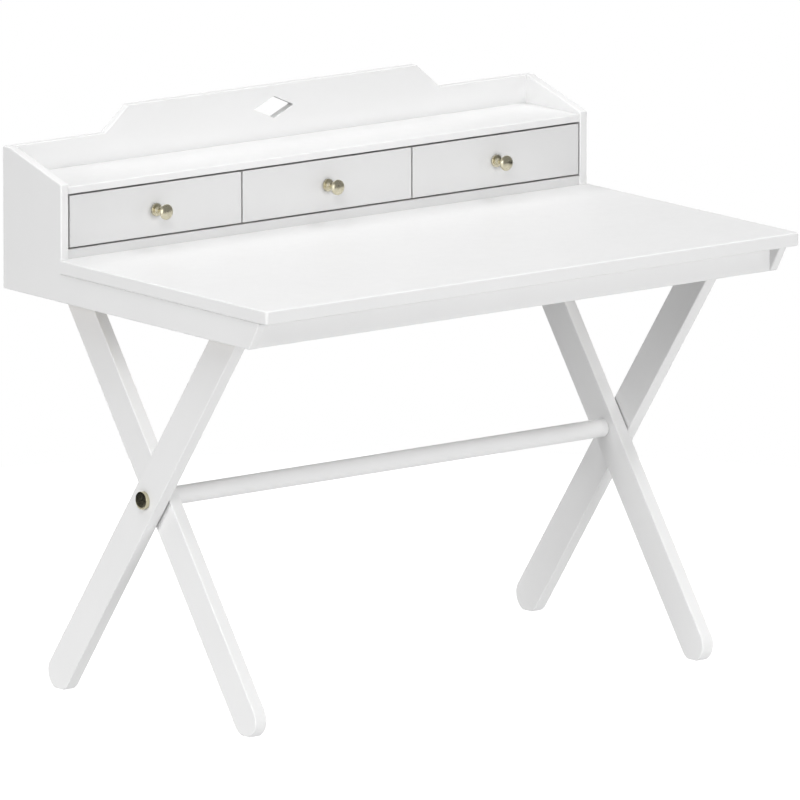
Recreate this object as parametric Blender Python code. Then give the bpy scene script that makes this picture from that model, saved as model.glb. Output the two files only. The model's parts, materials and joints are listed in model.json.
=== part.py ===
"""Writing desk: a top on crossed legs, with a low hutch of three drawers along its back edge.

Metres, +Z up. X runs side to side, -Y is the sitter's side and +Y the back. The origin is on the
floor under the middle of the desk. Every piece is one closed body, and pieces that touch on the
real desk keep the gap called SEAT between them.
"""
import math

import bmesh
import bpy
from mathutils import Vector

# Clearances
SEAT = 0.0003                  # between two pieces that touch
SHANK_CLEARANCE = 0.0003       # round a screw in its hole

# Overall
DESK_WIDTH = 1.150             # top, side to side
DESK_DEPTH = 0.738             # front edge of the top to the back of the hutch
DESK_HEIGHT = 0.762            # floor to the writing surface

# Top, side panels and aprons
TOP_THICKNESS = 0.0235
TOP_EDGE_RADIUS = 0.0025
SIDE_OVERHANG = 0.004          # top past the outside of each side panel
SIDE_THICKNESS = 0.016
APRON_THICKNESS = 0.015
APRON_DROP = 0.050             # under the top, on the sides, the front and the back
APRON_SETBACK = 0.0555         # front edge of the top to the face of the front apron
SLANT_TOP_SETBACK = 0.025      # front edge of the top to the side panel, just under the top
SLANT_BOTTOM_SETBACK = 0.054   # the same, at the panel's lower edge
BOARD_EDGE_RADIUS = 0.0015

# Hutch
HUTCH_DEPTH = 0.165
HUTCH_BACK_HEIGHT = 0.173      # writing surface to the flat at the back of a side panel
HUTCH_FRONT_HEIGHT = 0.129     # writing surface to the top of a side panel's front edge
HUTCH_FLAT = 0.019             # length of that flat, before the slope starts
BACK_THICKNESS = 0.015
CREST_RISE = 0.044             # raised middle of the back panel, over the flat
CREST_TOP_WIDTH = 0.626
CREST_BASE_WIDTH = 0.728
DIAMOND_WIDTH = 0.086
DIAMOND_HEIGHT = 0.038
DIAMOND_DROP = 0.039           # crest to the middle of the cutout
SHELF_TOP = 0.124              # over the writing surface
SHELF_THICKNESS = 0.0128
SHELF_SETBACK = 0.001
FLOOR_THICKNESS = 0.016
FLOOR_SETBACK = 0.002
DIVIDER_THICKNESS = 0.012

# Drawers
DRAWER_COUNT = 3
DRAWER_GAP = 0.003             # round each drawer front
FRONT_THICKNESS = 0.015
FRONT_SETBACK = 0.0005
FRONT_OVERLAP = 0.007          # front past the box, on each side
BOX_BOARD = 0.010
BOX_HEIGHT = 0.076
BOX_BACK_CLEARANCE = 0.012     # behind a shut drawer
BOTTOM_THICKNESS = 0.004
BOTTOM_RAISE = 0.007           # underside of the box to the underside of its bottom
GROOVE_DEPTH = 0.005
GUIDE_CLEARANCE = 0.0025       # between a drawer box and the guide strip beside it
GUIDE_HEIGHT = 0.030
DRAWER_TRAVEL = 0.090          # how far a drawer pulls out

# Knobs, turned about their own axis
KNOB_BASE_RADIUS = 0.0108
KNOB_BASE_THICKNESS = 0.0035
KNOB_BASE_EDGE = 0.0007        # chamfer round the base disc
KNOB_NECK_STEP = 0.0005        # short upright where the neck leaves the base
KNOB_NECK_RADIUS = 0.0046      # at its waist
KNOB_NECK_FLARE = 0.6          # how much wider the neck is at the base, as a share of the waist
KNOB_NECK_PHASE = 0.12         # where along the flare's curve the neck starts
KNOB_JOIN = 1.25               # neck radius where it meets the head, as a share of the waist
KNOB_HEAD_RADIUS = 0.0135
KNOB_HEAD_HALF = 0.0068        # half the thickness of the head
KNOB_HEAD_CENTRE = 0.0285      # from the face of the drawer
KNOB_BORE_DEPTH = 0.013
KNOB_SCREW_RADIUS = 0.002
KNOB_SCREW_HEAD_RADIUS = 0.004
KNOB_SCREW_HEAD = 0.0026
SCREW_CROWN = 0.6              # flat on top of a screw head, as a share of the head's radius
SCREW_RIM = 0.4                # upright rim of a screw head, as a share of the head's height

# Legs and stretcher
LEG_WIDTH = 0.0615
LEG_THICKNESS = 0.024
LEG_FRONT_INSET = 0.142        # front edge of the top to the middle of a front leg top
LEG_BACK_INSET = 0.0694        # back of the desk to the middle of a back leg top
FOOT_FLAT = 0.023              # where the round foot is cut level
STRETCHER_RADIUS = 0.01575
STRETCHER_CHAMFER = 0.001

# Pivot hardware, on the axis where the legs cross
WASHER_THICKNESS = 0.0012
WASHER_RADIUS = 0.012
PIVOT_RADIUS = 0.004
PIVOT_HEAD_RADIUS = 0.008
PIVOT_HEAD = 0.0042
INSERT_RADIUS = 0.0065
INSERT_LENGTH = 0.025
CAP_RADIUS = 0.0155
CAP_HEIGHT = 0.007
CAP_EDGE = 0.0008              # rounding round the face of the cap

# Rails under the top that carry the legs
RAIL_WIDTH = 0.031
RAIL_HEIGHT = 0.040
SPACER_LENGTH = 0.090
LEG_BOLT_RADIUS = 0.003
LEG_BOLT_HEAD_RADIUS = 0.006
LEG_BOLT_HEAD = 0.0035
LEG_BOLT_REACH = 0.022         # into the rail
LEG_BOLT_DROP = 0.020          # underside of the top to the bolt
TOP_SCREW_RADIUS = 0.0022
TOP_SCREW_HEAD_RADIUS = 0.0045
TOP_SCREW_HEAD = 0.0025
TOP_SCREW_REACH = 0.014        # into the top
TOP_SCREW_OFFSET = 0.050       # from each leg bolt, towards the middle of the rail

# How finely round shapes are cut
KNOB_SIDES = 28
ROD_SIDES = 32
SCREW_SIDES = 14
HOLE_SIDES = 18
NECK_STEPS = 5
HEAD_STEPS = 12
CAP_EDGE_STEPS = 3
FOOT_SIDES = 18                # facets round half a foot
CUT_MARGIN = 0.004             # a cutter runs this far past the wall it cuts

# Places worked out from the sizes above
FRONT_Y = -DESK_DEPTH / 2
BACK_Y = DESK_DEPTH / 2
TOP_UNDERSIDE = DESK_HEIGHT - TOP_THICKNESS
APRON_BOTTOM = TOP_UNDERSIDE - APRON_DROP
SIDE_OUT = DESK_WIDTH / 2 - SIDE_OVERHANG
SIDE_IN = SIDE_OUT - SIDE_THICKNESS
HUTCH_Y = BACK_Y - HUTCH_DEPTH
BACK_FACE = BACK_Y - BACK_THICKNESS
APRON_FACE = FRONT_Y + APRON_SETBACK
HUTCH_TOP = DESK_HEIGHT + HUTCH_BACK_HEIGHT
CREST_TOP = HUTCH_TOP + CREST_RISE
BAY_BOTTOM = DESK_HEIGHT + SEAT + FLOOR_THICKNESS
SHELF_UNDERSIDE = DESK_HEIGHT + SHELF_TOP - SHELF_THICKNESS
FRONT_WIDTH = (2 * SIDE_IN - (DRAWER_COUNT + 1) * DRAWER_GAP) / DRAWER_COUNT
FRONT_BOTTOM = BAY_BOTTOM + DRAWER_GAP
FRONT_TOP = SHELF_UNDERSIDE - DRAWER_GAP
FRONT_FACE = HUTCH_Y + FRONT_SETBACK
FRONT_REAR = FRONT_FACE + FRONT_THICKNESS
BOX_REAR = BACK_FACE - BOX_BACK_CLEARANCE
RAIL_OUT = SIDE_IN - SEAT
RAIL_IN = RAIL_OUT - RAIL_WIDTH
OUTER_LEG_OUT = RAIL_IN - SEAT
OUTER_LEG_IN = OUTER_LEG_OUT - LEG_THICKNESS
WASHER_OUT = OUTER_LEG_IN - SEAT
WASHER_IN = WASHER_OUT - WASHER_THICKNESS
INNER_LEG_OUT = WASHER_IN - SEAT
INNER_LEG_IN = INNER_LEG_OUT - LEG_THICKNESS
LEG_TOP = TOP_UNDERSIDE - SEAT
FRONT_LEG_Y = FRONT_Y + LEG_FRONT_INSET
BACK_LEG_Y = BACK_Y - LEG_BACK_INSET
PIVOT_Y = (FRONT_LEG_Y + BACK_LEG_Y) / 2
PIVOT_Z = TOP_UNDERSIDE / 2
RAIL_FRONT = APRON_FACE + APRON_THICKNESS + SEAT
RAIL_BACK = BACK_FACE - SEAT


def clear_scene():
    for obj in list(bpy.data.objects):
        bpy.data.objects.remove(obj)


def make_material(name, colour, roughness, metallic=0.0):
    material = bpy.data.materials.new(name)
    material.use_nodes = True
    shader = material.node_tree.nodes["Principled BSDF"]
    shader.inputs["Base Color"].default_value = (*colour, 1.0)
    shader.inputs["Roughness"].default_value = roughness
    shader.inputs["Metallic"].default_value = metallic
    return material


def finish(name, bm, material, origin=(0.0, 0.0, 0.0), parent=None):
    """Makes a named object of the mesh, whose points are in world space, with its origin at origin."""
    bmesh.ops.recalc_face_normals(bm, faces=bm.faces)
    bmesh.ops.translate(bm, verts=bm.verts, vec=-Vector(origin))
    mesh = bpy.data.meshes.new(name)
    bm.to_mesh(mesh)
    bm.free()
    obj = bpy.data.objects.new(name, mesh)
    bpy.context.scene.collection.objects.link(obj)
    if material is not None:
        mesh.materials.append(material)
    if parent is not None:
        obj.parent = parent
        obj.location = Vector(origin) - parent.location
    else:
        obj.location = origin
    return obj


def ease_edges(obj, radius, segments=2):
    """Rounds every sharp outward edge of a board, and leaves inward corners square."""
    bm = bmesh.new()
    bm.from_mesh(obj.data)
    weights = bm.edges.layers.float.new("bevel_weight_edge")
    for edge in bm.edges:
        if edge.is_convex and edge.calc_face_angle() > math.radians(30):
            edge[weights] = 1.0
    bm.to_mesh(obj.data)
    bm.free()
    bevel = obj.modifiers.new("eased edges", "BEVEL")
    bevel.width = radius
    bevel.segments = segments
    bevel.limit_method = "WEIGHT"


def prism(name, outline, axis, start, end, material, parent=None, origin=(0.0, 0.0, 0.0)):
    """Extrudes a closed outline along an axis. The outline's two values fill the other two axes in order."""
    bm = bmesh.new()
    rest = [i for i in range(3) if i != axis]
    corners = []
    for a, b in outline:
        point = [0.0, 0.0, 0.0]
        point[axis] = start
        point[rest[0]] = a
        point[rest[1]] = b
        corners.append(bm.verts.new(point))
    face = bm.faces.new(corners)
    step = [0.0, 0.0, 0.0]
    step[axis] = end - start
    grown = bmesh.ops.extrude_face_region(bm, geom=[face])
    moved = [item for item in grown["geom"] if isinstance(item, bmesh.types.BMVert)]
    bmesh.ops.translate(bm, verts=moved, vec=step)
    return finish(name, bm, material, origin, parent)


def block(name, low, high, material, parent=None, origin=(0.0, 0.0, 0.0)):
    """A plain box between two corners."""
    outline = [(low[0], low[1]), (high[0], low[1]), (high[0], high[1]), (low[0], high[1])]
    return prism(name, outline, 2, low[2], high[2], material, parent, origin)


def turned(name, profile, sides, origin, direction, material, parent=None):
    """Turns a profile of (radius, distance) points round the line from origin along direction.

    A profile that starts and ends on the axis makes a solid; one that doesn't is closed into a ring.
    """
    bm = bmesh.new()
    direction = Vector(direction).normalized()
    first = direction.orthogonal().normalized()
    second = direction.cross(first)
    rings = []
    for radius, distance in profile:
        middle = Vector(origin) + direction * distance
        if radius == 0:
            rings.append([bm.verts.new(middle)])
            continue
        ring = []
        for i in range(sides):
            turn = 2 * math.pi * i / sides
            offset = first * math.cos(turn) + second * math.sin(turn)
            ring.append(bm.verts.new(middle + offset * radius))
        rings.append(ring)
    if len(rings[0]) > 1:
        rings.append(rings[0])
    for lower, upper in zip(rings, rings[1:]):
        for i in range(sides):
            j = (i + 1) % sides
            if len(lower) == 1:
                bm.faces.new((lower[0], upper[i], upper[j]))
            elif len(upper) == 1:
                bm.faces.new((lower[i], lower[j], upper[0]))
            else:
                bm.faces.new((lower[i], lower[j], upper[j], upper[i]))
    obj = finish(name, bm, material, origin, parent)
    if material is not None:
        obj.data.shade_smooth()
        obj.data.set_sharp_from_angle(angle=math.radians(35))
    return obj


def rod(name, radius, length, sides, origin, direction, material, chamfer=0.0, parent=None):
    """A straight round bar from origin, with an optional chamfer at both ends."""
    if chamfer:
        profile = [(0, 0), (radius - chamfer, 0), (radius, chamfer), (radius, length - chamfer),
                   (radius - chamfer, length), (0, length)]
    else:
        profile = [(0, 0), (radius, 0), (radius, length), (0, length)]
    return turned(name, profile, sides, origin, direction, material, parent)


def screw(name, origin, direction, sizes, material, parent=None):
    """A domed screw. The head's seat is at origin and the shank runs along direction."""
    radius, head_radius, head, length = sizes
    profile = [(0, -head), (head_radius * SCREW_CROWN, -head), (head_radius, -head * SCREW_RIM),
               (head_radius, 0), (radius, 0), (radius, length - radius / 2), (radius / 2, length),
               (0, length)]
    return turned(name, profile, SCREW_SIDES, origin, direction, material, parent)


def cut(obj, cutter):
    """Takes the cutter out of the object and hides the cutter."""
    cutter.hide_render = True
    cutter.display_type = "WIRE"
    boolean = obj.modifiers.new(cutter.name, "BOOLEAN")
    boolean.operation = "DIFFERENCE"
    boolean.object = cutter


def drill(obj, label, radius, origin, direction, length, parent=None):
    """A round hole from origin along direction, started outside the wall."""
    direction = Vector(direction).normalized()
    start = Vector(origin) - direction * CUT_MARGIN
    cutter = rod(f"{obj.name}_{label}", radius, length + CUT_MARGIN, HOLE_SIDES, start, direction,
                 None, parent=parent)
    cut(obj, cutter)


def side_panel(name, side, material):
    """Side of the hutch and side apron in one board, with a slope at the top and a slanted front end."""
    slope_start = BACK_Y - HUTCH_FLAT
    outline = [
        (FRONT_Y + SLANT_BOTTOM_SETBACK, APRON_BOTTOM),
        (BACK_Y, APRON_BOTTOM),
        (BACK_Y, HUTCH_TOP),
        (slope_start, HUTCH_TOP),
        (HUTCH_Y, DESK_HEIGHT + HUTCH_FRONT_HEIGHT),
        (HUTCH_Y, TOP_UNDERSIDE - SEAT),
        (FRONT_Y + SLANT_TOP_SETBACK, TOP_UNDERSIDE - SEAT),
    ]
    panel = prism(name, outline, 0, side * SIDE_IN, side * SIDE_OUT, material)
    ease_edges(panel, BOARD_EDGE_RADIUS)


def desktop(material):
    """The writing surface, notched at the back to pass between the side panels."""
    half = DESK_WIDTH / 2
    inner = SIDE_IN - SEAT
    notch = HUTCH_Y - SEAT
    outline = [
        (-half, FRONT_Y), (half, FRONT_Y), (half, notch), (inner, notch),
        (inner, BACK_FACE - SEAT), (-inner, BACK_FACE - SEAT), (-inner, notch), (-half, notch),
    ]
    top = prism("desktop", outline, 2, TOP_UNDERSIDE, DESK_HEIGHT, material)
    ease_edges(top, TOP_EDGE_RADIUS, 3)
    return top


def back_panel(material):
    """Back apron, back of the hutch and raised crest in one board, with a diamond through the crest."""
    edge = SIDE_IN - SEAT
    base = CREST_BASE_WIDTH / 2
    crest = CREST_TOP_WIDTH / 2
    outline = [
        (-edge, APRON_BOTTOM), (edge, APRON_BOTTOM), (edge, HUTCH_TOP), (base, HUTCH_TOP),
        (crest, CREST_TOP), (-crest, CREST_TOP), (-base, HUTCH_TOP), (-edge, HUTCH_TOP),
    ]
    panel = prism("back_panel", outline, 1, BACK_FACE, BACK_Y, material)
    ease_edges(panel, BOARD_EDGE_RADIUS)
    middle = CREST_TOP - DIAMOND_DROP
    diamond = [(-DIAMOND_WIDTH / 2, middle), (0, middle - DIAMOND_HEIGHT / 2),
               (DIAMOND_WIDTH / 2, middle), (0, middle + DIAMOND_HEIGHT / 2)]
    cut(panel, prism("back_panel_diamond", diamond, 1, BACK_FACE - CUT_MARGIN, BACK_Y + CUT_MARGIN, None))


def hutch(paint, wood):
    """Shelf, floor, dividers and guide strips between the side panels."""
    edge = SIDE_IN - SEAT
    rear = BACK_FACE - SEAT
    shelf = block("hutch_shelf", (-edge, HUTCH_Y + SHELF_SETBACK, SHELF_UNDERSIDE),
                  (edge, rear, SHELF_UNDERSIDE + SHELF_THICKNESS), paint)
    ease_edges(shelf, BOARD_EDGE_RADIUS)
    floor = block("hutch_floor", (-edge, HUTCH_Y + FLOOR_SETBACK, DESK_HEIGHT + SEAT),
                  (edge, rear, BAY_BOTTOM), paint)
    ease_edges(floor, BOARD_EDGE_RADIUS)
    bottom = BAY_BOTTOM + SEAT
    front = FRONT_REAR + DRAWER_GAP
    for i in range(1, DRAWER_COUNT):
        x = -SIDE_IN + DRAWER_GAP / 2 + i * (FRONT_WIDTH + DRAWER_GAP)
        block(f"divider_{i}", (x - DIVIDER_THICKNESS / 2, front, bottom),
              (x + DIVIDER_THICKNESS / 2, rear, SHELF_UNDERSIDE - SEAT), wood)
    thickness = DRAWER_GAP + FRONT_OVERLAP - GUIDE_CLEARANCE - SEAT
    for side, label in ((-1, "left"), (1, "right")):
        outer = side * (SIDE_IN - SEAT)
        inner = side * (SIDE_IN - SEAT - thickness)
        block(f"drawer_guide_{label}", (min(outer, inner), front, bottom),
              (max(outer, inner), rear, bottom + GUIDE_HEIGHT), wood)


def knob_profile():
    """Base disc, waisted neck and flattened ball, with a blind bore for the screw."""
    bore = KNOB_SCREW_RADIUS + SHANK_CLEARANCE
    profile = [(0, KNOB_BORE_DEPTH), (bore, KNOB_BORE_DEPTH), (bore, 0), (KNOB_BASE_RADIUS, 0),
               (KNOB_BASE_RADIUS, KNOB_BASE_THICKNESS - KNOB_BASE_EDGE),
               (KNOB_BASE_RADIUS - KNOB_BASE_EDGE, KNOB_BASE_THICKNESS)]
    join = math.asin(KNOB_NECK_RADIUS * KNOB_JOIN / KNOB_HEAD_RADIUS)
    neck_end = KNOB_HEAD_CENTRE - KNOB_HEAD_HALF * math.cos(join)
    neck_start = KNOB_BASE_THICKNESS + KNOB_NECK_STEP
    for i in range(NECK_STEPS):
        share = i / NECK_STEPS
        waist = 1 + KNOB_NECK_FLARE * (1 - math.sin(math.pi * min(1.0, share + KNOB_NECK_PHASE)))
        profile.append((KNOB_NECK_RADIUS * waist, neck_start + (neck_end - neck_start) * share))
    for i in range(HEAD_STEPS):
        turn = join + (math.pi - join) * i / HEAD_STEPS
        radius = KNOB_HEAD_RADIUS * math.sin(turn)
        profile.append((radius, KNOB_HEAD_CENTRE - KNOB_HEAD_HALF * math.cos(turn)))
    profile.append((0, KNOB_HEAD_CENTRE + KNOB_HEAD_HALF))
    return profile


def drawer(number, paint, wood, brass, steel):
    """One drawer with its knob, under an empty on the line it slides along."""
    middle = -SIDE_IN + DRAWER_GAP + FRONT_WIDTH / 2 + (number - 1) * (FRONT_WIDTH + DRAWER_GAP)
    knob_z = (FRONT_BOTTOM + FRONT_TOP) / 2
    slide = bpy.data.objects.new(f"drawer_{number}_slide", None)
    slide.location = (middle, FRONT_FACE, knob_z)
    bpy.context.scene.collection.objects.link(slide)
    stops = slide.constraints.new("LIMIT_LOCATION")
    stops.use_min_y = True
    stops.use_max_y = True
    stops.min_y = FRONT_FACE - DRAWER_TRAVEL
    stops.max_y = FRONT_FACE
    origin = tuple(slide.location)
    half = FRONT_WIDTH / 2
    box_out = half - FRONT_OVERLAP
    box_in = box_out - BOX_BOARD
    box_bottom = BAY_BOTTOM + SEAT
    box_top = box_bottom + BOX_HEIGHT
    panel_bottom = box_bottom + BOTTOM_RAISE
    panel_top = panel_bottom + BOTTOM_THICKNESS
    box_front = FRONT_REAR + SEAT

    front = block(f"drawer_{number}_front", (middle - half, FRONT_FACE, FRONT_BOTTOM),
                  (middle + half, FRONT_REAR, FRONT_TOP), paint, slide, origin)
    ease_edges(front, BOARD_EDGE_RADIUS)
    reach = box_in + GROOVE_DEPTH
    groove = block(f"drawer_{number}_front_groove",
                   (middle - reach, FRONT_REAR - GROOVE_DEPTH, panel_bottom - SEAT),
                   (middle + reach, FRONT_REAR + CUT_MARGIN, panel_top + SEAT), None, slide, origin)
    cut(front, groove)
    for side, label in ((-1, "left"), (1, "right")):
        outer = middle + side * box_out
        inner = middle + side * box_in
        deep = inner + side * GROOVE_DEPTH
        outline = [
            (outer, box_bottom), (inner, box_bottom), (inner, panel_bottom - SEAT),
            (deep, panel_bottom - SEAT), (deep, panel_top + SEAT), (inner, panel_top + SEAT),
            (inner, box_top), (outer, box_top),
        ]
        prism(f"drawer_{number}_side_{label}", outline, 1, box_front, BOX_REAR, wood, slide, origin)
    back_in = box_in - SEAT
    block(f"drawer_{number}_back", (middle - back_in, BOX_REAR - BOX_BOARD, panel_top + SEAT),
          (middle + back_in, BOX_REAR, box_top), wood, slide, origin)
    bottom_half = reach - SEAT
    block(f"drawer_{number}_bottom", (middle - bottom_half, FRONT_REAR - GROOVE_DEPTH + SEAT, panel_bottom),
          (middle + bottom_half, BOX_REAR, panel_top), wood, slide, origin)

    seat = (middle, FRONT_FACE - SEAT, knob_z)
    turned(f"drawer_{number}_knob", knob_profile(), KNOB_SIDES, seat, (0, -1, 0), brass, slide)
    drill(front, "hole", KNOB_SCREW_RADIUS + SHANK_CLEARANCE, (middle, FRONT_REAR, knob_z), (0, -1, 0),
          FRONT_THICKNESS + CUT_MARGIN, slide)
    length = SEAT + FRONT_THICKNESS + SEAT + KNOB_BORE_DEPTH - 2 * SHANK_CLEARANCE
    sizes = (KNOB_SCREW_RADIUS, KNOB_SCREW_HEAD_RADIUS, KNOB_SCREW_HEAD, length)
    seat = (middle, FRONT_REAR + SEAT, knob_z)
    screw(f"drawer_{number}_knob_screw", seat, (0, -1, 0), sizes, steel, slide)


def leg_outline(top_y):
    """A leg from its level cut under the top, through the pivot, to a round foot cut level at the floor."""
    radius = LEG_WIDTH / 2
    along = Vector((top_y - PIVOT_Y, LEG_TOP - PIVOT_Z)).normalized()
    across = Vector((-along.y, along.x))
    foot_z = math.sqrt(radius ** 2 - (FOOT_FLAT / 2) ** 2)
    foot = Vector((PIVOT_Y, PIVOT_Z)) - along * ((PIVOT_Z - foot_z) / along.y)

    def at_top(edge):
        return edge + along * ((LEG_TOP - edge.y) / along.y)

    outline = [tuple(at_top(foot - across * radius)), tuple(at_top(foot + across * radius))]
    start = math.atan2(across.y, across.x)
    flat_done = False
    for i in range(FOOT_SIDES + 1):
        turn = start + math.pi * i / FOOT_SIDES
        point = foot + Vector((math.cos(turn), math.sin(turn))) * radius
        if point.y > 0:
            outline.append(tuple(point))
        elif not flat_done:
            outline.append((foot.x - FOOT_FLAT / 2, 0.0))
            outline.append((foot.x + FOOT_FLAT / 2, 0.0))
            flat_done = True
    return outline


def leg_line_y(top_y, z):
    """Where the middle of a leg is at height z."""
    return PIVOT_Y + (top_y - PIVOT_Y) * (z - PIVOT_Z) / (LEG_TOP - PIVOT_Z)


def leg_frame(paint, wood, brass, steel):
    """Two pairs of crossed legs, the stretcher between them and the hardware on the pivot axis."""
    bolt_z = TOP_UNDERSIDE - LEG_BOLT_DROP
    stretcher = rod("stretcher", STRETCHER_RADIUS, 2 * (INNER_LEG_IN - SEAT), ROD_SIDES,
                    (-INNER_LEG_IN + SEAT, PIVOT_Y, PIVOT_Z), (1, 0, 0), paint, STRETCHER_CHAMFER)
    for side, label in ((-1, "left"), (1, "right")):
        inward = (-side, 0, 0)
        pivot = (side * OUTER_LEG_OUT, PIVOT_Y, PIVOT_Z)
        outer = prism(f"outer_leg_{label}", leg_outline(FRONT_LEG_Y), 0, side * OUTER_LEG_IN,
                      side * OUTER_LEG_OUT, paint)
        inner = prism(f"inner_leg_{label}", leg_outline(BACK_LEG_Y), 0, side * INNER_LEG_IN,
                      side * INNER_LEG_OUT, paint)
        ease_edges(outer, BOARD_EDGE_RADIUS)
        ease_edges(inner, BOARD_EDGE_RADIUS)
        bore = PIVOT_RADIUS + SHANK_CLEARANCE
        drill(outer, "pivot_hole", bore, pivot, inward, LEG_THICKNESS + CUT_MARGIN)
        drill(inner, "pivot_hole", bore, (side * INNER_LEG_OUT, PIVOT_Y, PIVOT_Z), inward,
              LEG_THICKNESS + CUT_MARGIN)

        washer = [(bore, 0), (WASHER_RADIUS, 0), (WASHER_RADIUS, WASHER_THICKNESS), (bore, WASHER_THICKNESS)]
        seat = (side * WASHER_OUT, PIVOT_Y, PIVOT_Z)
        turned(f"leg_washer_{label}", washer, KNOB_SIDES, seat, inward, steel)

        end = side * (INNER_LEG_IN - SEAT)
        drill(stretcher, f"insert_hole_{label}", INSERT_RADIUS + SEAT, (end, PIVOT_Y, PIVOT_Z), inward,
              INSERT_LENGTH + SEAT)
        insert = [(bore, 0), (INSERT_RADIUS, 0), (INSERT_RADIUS, INSERT_LENGTH), (bore, INSERT_LENGTH)]
        turned(f"stretcher_insert_{label}", insert, KNOB_SIDES, (end, PIVOT_Y, PIVOT_Z), inward, brass)

        reach = OUTER_LEG_OUT + SEAT - INNER_LEG_IN + INSERT_LENGTH - SHANK_CLEARANCE
        seat = (side * (OUTER_LEG_OUT + SEAT), PIVOT_Y, PIVOT_Z)
        sizes = (PIVOT_RADIUS, PIVOT_HEAD_RADIUS, PIVOT_HEAD, reach)
        screw(f"pivot_bolt_{label}", seat, inward, sizes, steel)

        room = PIVOT_HEAD_RADIUS + SEAT
        depth = PIVOT_HEAD + SEAT
        cap = [(0, depth), (room, depth), (room, 0), (CAP_RADIUS, 0)]
        for i in range(CAP_EDGE_STEPS + 1):
            turn = math.pi / 2 * i / CAP_EDGE_STEPS
            inset = CAP_EDGE * (1 - math.cos(turn))
            drop = CAP_EDGE * (1 - math.sin(turn))
            cap.append((CAP_RADIUS - inset, CAP_HEIGHT - drop))
        cap.append((0, CAP_HEIGHT))
        turned(f"pivot_cap_{label}", cap, ROD_SIDES, seat, (side, 0, 0), brass)
        leg_fixings(label, side, outer, inner, bolt_z, wood, steel)


def leg_fixings(label, side, outer, inner, bolt_z, wood, steel):
    """The rail under the top, the spacer that reaches the inner leg, and the bolts and screws."""
    inward = Vector((-side, 0, 0))
    rail_bottom = LEG_TOP - RAIL_HEIGHT
    x_low = min(side * RAIL_IN, side * RAIL_OUT)
    x_high = max(side * RAIL_IN, side * RAIL_OUT)
    rail = block(f"leg_rail_{label}", (x_low, RAIL_FRONT, rail_bottom), (x_high, RAIL_BACK, LEG_TOP), wood)

    spacer_y = leg_line_y(BACK_LEG_Y, bolt_z)
    spacer_out = side * (RAIL_IN - SEAT)
    spacer_in = side * (INNER_LEG_OUT + SEAT)
    spacer_back = min(spacer_y + SPACER_LENGTH / 2, RAIL_BACK)
    spacer = block(f"leg_spacer_{label}",
                   (min(spacer_in, spacer_out), spacer_back - SPACER_LENGTH, rail_bottom),
                   (max(spacer_in, spacer_out), spacer_back, LEG_TOP), wood)

    bore = LEG_BOLT_RADIUS + SHANK_CLEARANCE
    outward = -inward
    fixed = ((outer, FRONT_LEG_Y, OUTER_LEG_IN, "front"), (inner, BACK_LEG_Y, INNER_LEG_IN, "back"))
    for leg, top_y, face, name in fixed:
        y = leg_line_y(top_y, bolt_z)
        seat = Vector((side * face, y, bolt_z))
        drill(leg, "bolt_hole", bore, seat, outward, LEG_THICKNESS + CUT_MARGIN)
        drill(rail, f"bolt_hole_{name}", bore, (side * RAIL_IN, y, bolt_z), outward, LEG_BOLT_REACH + SEAT)
        length = RAIL_IN + LEG_BOLT_REACH - face
        sizes = (LEG_BOLT_RADIUS, LEG_BOLT_HEAD_RADIUS, LEG_BOLT_HEAD, length)
        screw(f"leg_bolt_{name}_{label}", seat + inward * SEAT, outward, sizes, steel)
        if leg is inner:
            drill(spacer, "bolt_hole", bore, (spacer_in, y, bolt_z), outward,
                  abs(spacer_out - spacer_in) + CUT_MARGIN)

    top = bpy.data.objects["desktop"]
    bore = TOP_SCREW_RADIUS + SHANK_CLEARANCE
    x = side * (RAIL_IN + RAIL_OUT) / 2
    front_y = leg_line_y(FRONT_LEG_Y, bolt_z) + TOP_SCREW_OFFSET
    back_y = leg_line_y(BACK_LEG_Y, bolt_z) - TOP_SCREW_OFFSET
    for y, name in ((front_y, "front"), (back_y, "back")):
        drill(rail, f"screw_hole_{name}", bore, (x, y, rail_bottom), (0, 0, 1), RAIL_HEIGHT + CUT_MARGIN)
        drill(top, f"screw_hole_{name}_{label}", bore, (x, y, TOP_UNDERSIDE), (0, 0, 1),
              TOP_SCREW_REACH + SEAT)
        length = SEAT + RAIL_HEIGHT + SEAT + TOP_SCREW_REACH
        sizes = (TOP_SCREW_RADIUS, TOP_SCREW_HEAD_RADIUS, TOP_SCREW_HEAD, length)
        screw(f"top_screw_{name}_{label}", (x, y, rail_bottom - SEAT), (0, 0, 1), sizes, steel)


def main():
    clear_scene()
    paint = make_material("white paint", (0.86, 0.86, 0.85), 0.42)
    wood = make_material("birch", (0.72, 0.57, 0.38), 0.6)
    brass = make_material("brass", (0.72, 0.62, 0.38), 0.25, 1.0)
    steel = make_material("zinc-plated steel", (0.62, 0.62, 0.63), 0.35, 1.0)

    desktop(paint)
    side_panel("side_panel_left", -1, paint)
    side_panel("side_panel_right", 1, paint)
    apron = block("front_apron", (-SIDE_IN + SEAT, APRON_FACE, APRON_BOTTOM),
                  (SIDE_IN - SEAT, APRON_FACE + APRON_THICKNESS, TOP_UNDERSIDE - SEAT), paint)
    ease_edges(apron, BOARD_EDGE_RADIUS)
    back_panel(paint)
    hutch(paint, wood)
    for number in range(1, DRAWER_COUNT + 1):
        drawer(number, paint, wood, brass, steel)
    leg_frame(paint, wood, brass, steel)


main()
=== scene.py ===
import json
import math
import bpy
import numpy as np
from mathutils import Matrix, Vector

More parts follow.
